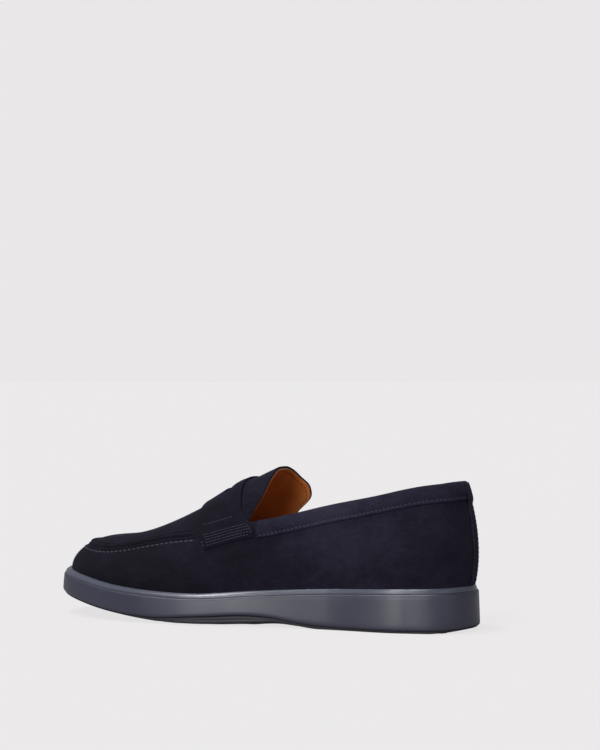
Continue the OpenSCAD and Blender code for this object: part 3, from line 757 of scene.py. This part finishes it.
def strap():
    """Saddle strap over the instep, with a lens-shaped slot across its crest."""
    slot_from = 2 - SLOT_HALF / INSTEP_TURN
    w = np.concatenate([np.linspace(0, 1.06, 22), np.linspace(1.06, slot_from, 20)[1:],
                        np.linspace(slot_from, 2, 34)[1:]])
    across, side = there_and_back(w)
    # The slot's middle and its half opening, as shares of the strap's width
    middle = 0.6
    x = (2 - across) * INSTEP_TURN / SLOT_HALF
    h = 0.004 + 0.128 * np.sqrt(np.clip(1 - x**2, 0, 1))
    front = np.linspace(0, 1, 14)[None, :] * (middle - h)[:, None]
    back = (middle + h)[:, None] + np.linspace(0, 1, 11)[None, :] * (1 - middle - h)[:, None]
    shares = np.concatenate([front, back], 1)
    y1, y2 = at(STRAP_FRONT, across)[:, None], at(STRAP_BACK, across)[:, None]
    y = y1 + (y2 - y1) * shares
    k = side[:, None] * station_at(y)
    a = strap_angle(k, across[:, None] * np.ones_like(y))
    skived = skive(across) + 0.2 * (1 - smooth((across - 0.7) / 0.4))
    rear = 0.5 * smooth((shares - 0.8) / 0.2) * smooth((across - 0.9) / 0.2)[:, None]
    lift = STRAP_LIFT + SUEDE / 2 + (at(STRAP_RISE, across) - skived)[:, None] - rear
    grid = skin(k, a, lift)
    n, m = grid.shape[:2]
    slot = front.shape[1] - 1

    def skip(i, j):
        return j == slot and min(across[i], across[i + 1]) >= slot_from - 1e-9

    make("strap_suede", grid.reshape(-1, 3), grid_faces(n, m, skip=skip), STRAP_LOOK, "suede",
         ["strap"], bevel=0.42, solid=SUEDE)


def arch(y1, low, back, foot=0.0):
    """Grid over the instep from y1 to a distance back from the tongue's free edge.

    Its sides lie low degrees below the wall's upper edge; foot is their w on the free edge.
    """
    share, side = there_and_back(np.linspace(0, 1, 56))
    lobe = foot + (1 - foot) * share
    end = at(TONGUE_EDGE, np.where(side > 0, lobe, 2 - lobe)) - back
    t = np.linspace(0, 1, 26)
    y = y1 + (end[:, None] - y1) * t[None, :]
    k = side[:, None] * station_at(y)
    start = drop_angle(k, 0) - math.radians(low)
    a = start + (HALF_PI - start) * share[:, None]
    flare = at(TONGUE_FLARE, lobe)[:, None] * np.maximum(0, (y + 14) / 30) ** 1.2
    return k, a, flare


def tongue():
    """Tongue with its lining and the stitches along the lining's edge."""
    k, a, flare = arch(-22, 5, 0)
    grid = skin(k, a, UNDER_SUEDE - SUEDE / 2 + flare)
    n, m = grid.shape[:2]
    make("tongue_suede", grid.reshape(-1, 3), grid_faces(n, m), SUEDE_LOOK, "suede",
         ["tongue"], bevel=0.35, solid=SUEDE)
    k, a, flare = arch(-27, -1.5, 0.4, 0.1)
    mid = UNDER_SUEDE - SUEDE - GAP - LINING / 2
    grid = skin(k, a, mid + flare)
    make("tongue_lining_leather", grid.reshape(-1, 3), grid_faces(n, m), LINING_LOOK, "lining",
         ["tongue_lining"], bevel=0.3, solid=LINING)
    k, a, flare = (v[3:-3, -1] for v in arch(-24, -1.5, 3.0, 0.1))
    under = UNDER_SUEDE - SUEDE - GAP - LINING
    path, n = skin(k, a, under + flare), -normal(k, a)
    stitch_row("tongue_stitching", marks(path, n, 2.9), LINING_THREAD_LOOK, "lining_thread",
               length=2.1, radius=0.27, height=0.3)


def collar():
    """Padded band round the topline, rolled over its edge, with the foam under it."""
    ks = round_heel(station_at(BAND_Y), 760)
    # Distance up from the upper edge, and out from the last
    profile = np.array([
        (-11.5, 0.12), (-11.62, 0.5), (-11.55, 0.85), (-11.3, 1.1), (-10.9, 1.16),
        (-10.4, 1.0), (-9.9, 0.82), (-9.4, 0.98), (-8.8, 1.18), (-7.6, 1.38), (-6.2, 1.48),
        (-4.8, 1.46), (-3.4, 1.34), (-2.3, 1.12), (-1.4, 0.78), (-0.7, 0.28), (-0.25, -0.25),
        (0.0, -0.9), (0.05, -1.6), (-0.1, -2.2), (-0.45, -2.62), (-0.9, -2.7),
        (-1.25, -2.3), (-1.3, -1.4), (-1.35, -0.5), (-1.5, 0.08), (-3, 0.06), (-7, 0.06)])
    rise, out = profile.T
    # The stitches pucker the band once for each stitch
    seam = skin(ks, drop_angle(ks, BAND_SEAM))
    run = np.concatenate([[0], np.cumsum(np.linalg.norm(np.diff(seam, axis=0), axis=1))])
    waves = np.cos(2 * math.pi * run * int(run[-1] / FINE_PITCH) / run[-1])
    pucker = waves[:, None] * (bump_at(rise, -8.9, 1.3, 0.13) * (out > 0.5))[None, :]
    a = drop_angle(ks[:, None], -np.minimum(rise, 0)[None, :])
    grid = skin(ks[:, None], a, out[None, :] - pucker)
    grid[..., 2] += np.maximum(rise, 0)[None, :]
    piece = loft("collar_band_suede", grid, BAND_PAINTED_LIGHT_LOOK, "suede", ["collar_band"], sharp=70)
    ks = round_heel(THROAT - 1, 300)
    a = drop_angle(ks[:, None], np.linspace(BAND_DEPTH, 1.8, 8)[None, :])
    piece = loft("collar_foam", band(ks, a, UNDER_SUEDE, UNDER_SUEDE - FILLING), FOAM_LOOK,
                 "padding", ["collar_padding"])


def back_strip():
    """Strip over the back seam, from the rim up and over the collar band."""
    h = BACK_STRIP_HALF
    ks = np.linspace(h, -h, 9)
    r = record(ks)
    low, high = r.foot[:, 2] + RIM_HEIGHT + 0.4, r.edge - 1.2
    z = low[:, None] + (high - low)[:, None] * np.linspace(0, 1, 90)[None, :]
    lift = np.interp(z - r.edge[:, None], *np.array(OVER_BAND).T)
    grid = skin(ks[:, None], angle_at(ks[:, None], z), lift + BACK_STRIP_SUEDE / 2)
    make("back_strip_suede", grid.reshape(-1, 3), grid_faces(*z.shape), BAND_PAINTED_LIGHT_LOOK, "suede",
         ["back_strip"], bevel=0.25, solid=BACK_STRIP_SUEDE)
    rows = []
    for side in (1, -1):
        k = np.full(60, side * (h - 0.16))
        r = record(k)
        z = np.linspace(r.foot[0, 2] + RIM_HEIGHT + 2, r.edge[0] - BAND_DEPTH - 4, 60)
        rows += on_path(k, angle_at(k, z), BACK_STRIP_SUEDE + GAP, FINE_PITCH)
    stitch_row("back_thread", rows, DARK_THREAD_LOOK, "thread", ["back_stitching"], 1.8, 0.2,
               0.22)


def between(ks, low, high, n):
    """Angles from one height to another, as rows."""
    t = np.linspace(0, 1, n)[None, :]
    return angle_at(ks[:, None], low[:, None] * (1 - t) + high[:, None] * t)


def linings():
    """Quarter lining, vamp lining over the toes, and the stitches along the topline."""
    ks = round_heel(LINING_SEAM)
    r = record(ks)
    a = between(ks, r.foot[:, 2] + BOARD_TOP, r.edge - 0.75, 34)
    loft("quarter_lining_leather", band(ks, a, OVER_LINING, IN_LINING, 0.35), LINING_LOOK,
         "lining", ["quarter_lining"])
    ks = np.linspace(LINING_SEAM + 0.02, K, 170)
    rows = []
    for side in (1, -1):
        kk = ks * side
        start = angle_at(kk, record(kk).foot[:, 2] + BOARD_TOP)
        a = start[:, None] + (HALF_PI - start)[:, None] * np.linspace(0, 1, 30)[None, :]
        rows += [skin(kk[:, None], a, o + 0 * a) for o in (OVER_LINING, IN_LINING)]
    over1, in1, over2, in2 = rows
    grid = np.concatenate([over1, over2[:, ::-1][:, 1:], in2, in1[:, ::-1][:, 1:]], 1)
    loft("vamp_lining_leather", grid, LINING_LOOK, "lining", ["vamp_lining"], caps=False)
    ks = round_heel(station_at(SEAM_Y), 500)
    stitch_row("lining_thread", on_path(ks, drop_angle(ks, 3), IN_LINING, FINE_PITCH, -1),
               LINING_THREAD_LOOK, "lining_thread", ["lining_stitching"], 2.2, 0.24, 0.34)


def stiffeners():
    """Heel counter and toe puff, between the suede and the lining."""
    counter_end, puff_end, puff_top = 14.0, 31.0, math.radians(66)
    ks = round_heel(counter_end, 200)
    r = record(ks)
    a = between(ks, r.foot[:, 2] + BOARD_TOP, r.edge - BAND_DEPTH - 1, 16)
    loft("heel_counter_board", band(ks, a, UNDER_SUEDE, UNDER_SUEDE - FILLING), BOARD_LOOK,
         "board", ["heel_counter"])
    ks = round_toe(puff_end, 160)
    start = angle_at(ks, record(ks).foot[:, 2] + BOARD_TOP)
    a = start[:, None] + (puff_top - start)[:, None] * np.linspace(0, 1, 14)[None, :]
    loft("toe_puff_board", band(ks, a, UNDER_SUEDE, UNDER_SUEDE - FILLING), BOARD_LOOK,
         "board", ["toe_puff"])


def layer(name, node, inset, low, high, look, slot):
    """A board or pad on the ledge, from one height above it to another, with rounded edges."""
    c = 0.3
    profile = [(c, low), (0, low + c), (0, high - c), (c * 0.3, high - c * 0.3), (c, high),
               (2, high)]
    rings = [foot_ring(AROUND, inset + d, LEDGE + h) for d, h in profile]
    stack(name, rings, look, slot, [node])


def ledge_strip(name, node, y1, y2, w1, w2, look, slot):
    """A flat strip along the middle of the ledge, from half width w1 at y1 to w2 at y2."""
    y, w = np.linspace(y1, y2, 40), np.linspace(w1, w2, 40)
    x = at(SPINE_X, y) * 0.9 - CENTRE_X
    z = at(LEDGE_Z, y)
    sides = (-1, -0.5, 0, 0.5, 1)
    profile = [(c, 0.3) for c in sides] + [(c, 1.5) for c in sides[::-1]]
    grid = np.stack([np.stack([x + w * c, y, z + d], -1) for c, d in profile], 1)
    loft(name, grid, look, slot, [node])


def inside_sole():
    """What lies between the foot and the midsole, and the margin that is glued under it."""
    layer("insole_board_fibre", "insole_board", SUEDE + 0.3, 1.7, BOARD_TOP, BOARD_LOOK, "board")
    layer("footbed_foam", "footbed", -IN_LINING + 0.3, BOARD_TOP + GAP, 7, FOAM_LOOK, "padding")
    layer("sock_leather", "sock_lining", -IN_LINING + 0.35, 7 + GAP, 8, SOCK_LOOK, "lining")
    ledge_strip("bottom_filler_foam", "bottom_filler", -126, -16, 18, 26, FOAM_LOOK, "padding")
    ledge_strip("shank_strip", "shank", -8, 104, 7, 7, STEEL_LOOK, "shank_steel")
    low, high = FOOT_RISE, FOOT_RISE + SUEDE
    corners = [(SUEDE + GAP, low), (MARGIN_WIDTH, low), (MARGIN_WIDTH, high), (SUEDE + GAP, high)]
    grid = np.stack([foot_ring(AROUND, d, LEDGE + h) for d, h in corners], 1)
    loft("lasting_margin_suede", grid, SUEDE_LOOK, "suede", ["lasting_margin"], wrap_u=True)


# ---- sole ----
def midsole():
    """The sole's wall, with a rounded lower edge and a rounded ledge round the rim."""
    foot, shoulder = 1.7, 1.3
    rings = [ring(AROUND, d, LOW + h) for d, h in
             [(1.5, 0), (0.9, 0.06), (0.45, 0.3), (0.15, 0.8), (0.02, foot)]]
    for t in np.linspace(0, 1, 9)[1:]:
        z = (LOW + foot) * (1 - t) + (LEDGE - shoulder) * t
        rings.append(ring(AROUND, 0.02 + 0.68 * t**1.2, z))
    rings += [ring(AROUND, d, LEDGE - h) for d, h in
              [(0.86, 0.8), (1.15, 0.4), (1.5, 0.12), (2.0, 0), (3.4, 0.02)]]
    stack("midsole_rubber", rings, WALL_LOOK, "sole_rubber", ["midsole"])


def rim():
    """Lighter rim that rises from the ledge to the upper."""
    foot = foot_inset(AROUND_Y)
    start, bend = 2.2, 1.5
    profile = [ring(AROUND, d, LEDGE + h) for d, h in
               [(2.5, 0.04), (1.95, 0.06), (1.88, 0.4), (1.9, 0.8), (1.97, 1.15), (start, bend)]]
    for t in np.linspace(0, 1, 7)[1:]:
        d = start * (1 - t) + (foot - 1.35) * t - 0.12 * math.sin(math.pi * t)
        profile.append(ring(AROUND, d, LEDGE + bend + (RIM_HEIGHT - bend - 0.12) * t))
    profile += [ring(AROUND, foot - d, LEDGE + RIM_HEIGHT + h) for d, h in
                [(1.05, -0.03), (0.7, 0.02), (0.35, -0.08), (0.12, -0.35), (0.06, -0.9),
                 (0.06, -2.2), (0.06, -3.1)]]
    loft("rim_rubber", np.stack(profile, 1), RIM_LOOK, "rim_rubber", ["rim"], wrap_u=True,
         sharp=75)


def outsole():
    """Dark sole under the wall, with a groove round its edge."""
    top = LOW - GAP
    bottom = np.maximum(UNDER + 0.1, 0.1)
    rings = [ring(AROUND, d, np.maximum(UNDER - h, TREAD + GAP)) for d, h in
             [(16, 1.6), (10, 1.5), (5, 0.5), (3.2, 0.1)]]
    # Inset and share of the way down, from the underside up to the wall
    edge = [(2.3, 0.98), (1.8, 0.86), (1.6, 0.72), (1.62, 0.62), (1.95, 0.55), (1.95, 0.49),
            (1.55, 0.43), (1.5, 0.3), (1.62, 0.14), (2.1, 0.03), (3, 0)]
    rings += [ring(AROUND, d, top + (bottom - top) * share) for d, share in edge]
    stack("outsole_rubber", rings, OUTSOLE_LOOK, "outsole_rubber", ["outsole"], across=16)


def tread(name, node, y1, y2, inset):
    """A flat tread cut by wavy grooves, at a distance inside the wall of the sole."""
    pitch, groove, wave, waves, least = 5.2, 1.0, 2.2, 3.0, 0.6
    edges = []
    for side in (-1, 1):
        r = record(side * station_at(np.linspace(y1, y2, 400)))
        edge = r.wall - r.normal[:, :2] * inset
        edges.append(edge[np.argsort(edge[:, 1])].T)
    (left_x, left_y), (right_x, right_y) = edges
    bottom, top = max(left_y[0], right_y[0]), min(left_y[-1], right_y[-1])
    verts, faces = [], []
    count = int((top - bottom) / pitch)
    step = (top - bottom) / count
    t = np.linspace(0, 1, 61)
    for i in range(-1, count + 1):
        rows = []
        for edge in (groove / 2, step - groove / 2):
            y = bottom + i * step + edge + wave * np.sin(2 * math.pi * waves * t)
            y = np.clip(y, bottom, top)
            x0, x1 = np.interp(y, left_y, left_x), np.interp(y, right_y, right_x)
            rows.append(np.stack([x0 + (x1 - x0) * t, y], -1))
        keep = rows[1][:, 1] - rows[0][:, 1] > least
        for part in np.split(np.arange(len(t)), np.flatnonzero(np.diff(keep.astype(int))) + 1):
            if len(part) < 2 or not keep[part[0]]:
                continue
            base, end = len(verts), len(verts) + 4 * (len(part) - 1)
            for j in part:
                a, b = rows[0][j], rows[1][j]
                verts += [(*a, TREAD), (*a, 0), (*b, 0), (*b, TREAD)]
            faces += moved(grid_faces(len(part), 4, False, True), base)
            faces += moved([(0, 1, 2, 3)], base) + moved([(3, 2, 1, 0)], end)
    make(name, verts, faces, OUTSOLE_LOOK, "outsole_rubber", [node], sharp=40)


# ---- stitching ----
def strap_row(side, y1, drop1, y2, drop2):
    """Stitches on the strap, from a drop below the upper edge at y1 to another at y2."""
    k = side * station_at(np.linspace(y1, y2, 60))
    drop = np.linspace(drop1, drop2, 60)
    top = SUEDE + STRAP_LIFT - skive(1 - drop / TAB_DEPTH)
    return on_path(k, drop_angle(k, drop), top, TAB_PITCH)


def stitching():
    """The rows on the apron, the tabs and the collar."""
    ks = round_toe(station_at(-32.0), 700)
    made = on_path(ks, drop_angle(ks, APRON_SEAM), -0.28, APRON_PITCH)
    stitch_row("apron_thread", made, THREAD_LOOK, "thread", ["apron_stitching"], 2.5, 0.36, 0.62)
    # Five long rows, one across each end of the tab, and one over the instep
    drops = 1.2 + 1.8 * np.arange(5)
    w = 1 - drops / TAB_DEPTH
    rows = list(zip(at(STRAP_FRONT, w) + 2.6, drops, at(STRAP_BACK, w) - 3, drops))
    rows += [(5.8, 1.6, 9.4, 8.2), (-24.8, 4.4, -22.2, 9.2), (-27, -5.5, -5, -5.5)]
    made = []
    for side in (1, -1):
        for row in rows:
            made += strap_row(side, *row)
    stitch_row("tab_thread", made, TAB_THREAD_LOOK, "thread", ["tab_stitching"], 1.25, 0.2, 0.26)
    made = []
    for side in (1, -1):
        ks = side * np.linspace(BACK_STRIP_HALF + 0.25, station_at(SEAM_Y), 450)
        made += on_path(ks, drop_angle(ks, BAND_SEAM), 0.8, FINE_PITCH,
                        slant=math.radians(-24 * side))
    stitch_row("collar_thread", made, TAB_THREAD_LOOK, "thread", ["collar_stitching"], 1.9, 0.2,
               0.34)


side_wall()
apron()
strap()
tongue()
collar()
back_strip()
linings()
stiffeners()
inside_sole()
midsole()
rim()
outsole()
tread("forefoot_tread_rubber", "forefoot_tread", -76, -14, 20)
tread("heel_tread_rubber", "heel_tread", 62, 140, 6)
stitching()


# ---- floor, light and camera ----
scene = bpy.context.scene


def floor_paint():
    """Pale floor that is bright to look at and sends little light back up."""
    p = Paint("floor_paint", Base_Color=(0.35, 0.345, 0.35, 1), Roughness=1.0,
              Specular_IOR_Level=0.0)
    glow = p.node("ShaderNodeEmission", [("Color", (0.955, 0.936, 0.945, 1))]).outputs[0]
    seen = p.node("ShaderNodeLightPath").outputs["Is Camera Ray"]
    mix = p.node("ShaderNodeMixShader", [(0, p.math("MULTIPLY", seen, 0.78)),
                 (1, p.shader.outputs[0]), (2, glow)])
    p.tree.links.new(mix.outputs[0], p.tree.nodes["Material Output"].inputs[0])
    return p.material


def floor():
    """A square of floor, 80 m wide."""
    half = 40
    mesh = bpy.data.meshes.new("floor")
    mesh.from_pydata([(-half, -half, 0), (half, -half, 0), (half, half, 0), (-half, half, 0)], [],
                     [(0, 1, 2, 3)])
    ground = bpy.data.objects.new("floor", mesh)
    scene.collection.objects.link(ground)
    mesh.materials.append(floor_paint())


def studio():
    """Pale grey background to look at, and a weaker, cooler light from all sides."""
    world = bpy.data.worlds.new("studio")
    scene.world = world
    world.use_nodes = True
    tree = world.node_tree
    back, soft = tree.nodes["Background"], tree.nodes.new("ShaderNodeBackground")
    for node, colour, strength in ((back, (0.815, 0.799, 0.807, 1), 1.0),
                                   (soft, (0.93, 0.95, 1.0, 1), 0.30)):
        node.inputs["Color"].default_value = colour
        node.inputs["Strength"].default_value = strength
    path = tree.nodes.new("ShaderNodeLightPath")
    mix = tree.nodes.new("ShaderNodeMixShader")
    tree.links.new(path.outputs["Is Camera Ray"], mix.inputs[0])
    tree.links.new(soft.outputs[0], mix.inputs[1])
    tree.links.new(back.outputs[0], mix.inputs[2])
    tree.links.new(mix.outputs[0], tree.nodes["World Output"].inputs[0])


def sun(name, toward, strength, angle):
    """A broad distant light that comes from the direction toward."""
    data = bpy.data.lights.new(name, "SUN")
    data.energy, data.angle = strength, math.radians(angle)
    lamp = bpy.data.objects.new(name, data)
    scene.collection.objects.link(lamp)
    lamp.rotation_mode = "QUATERNION"
    lamp.rotation_quaternion = Vector(toward).to_track_quat("Z", "Y")


def camera():
    """It stands level, turned behind the side view, and looks a little past the middle."""
    distance, height = 1.4, 0.1615
    turn, aside = math.radians(25), math.radians(0.97)
    data = bpy.data.cameras.new("camera")
    data.lens, data.sensor_width = 101.6, 36.0
    data.clip_start, data.clip_end = 0.05, 200
    eye = bpy.data.objects.new("camera", data)
    scene.collection.objects.link(eye)
    eye.location = (distance * math.cos(turn), distance * math.sin(turn), height)
    eye.rotation_euler = (HALF_PI, 0, HALF_PI + turn - aside)
    scene.camera = eye


floor()
scene.view_settings.view_transform = "Standard"
studio()
sun("key", (0.603, -0.128, 0.788), 1.1, 24)
sun("side", (0.99, -0.06, 0.1), 1.35, 22)
sun("top", (0.09, -0.21, 0.973), 1.7, 10)
sun("rear", (0.45, 0.86, 0.2), 0.4, 60)
camera()
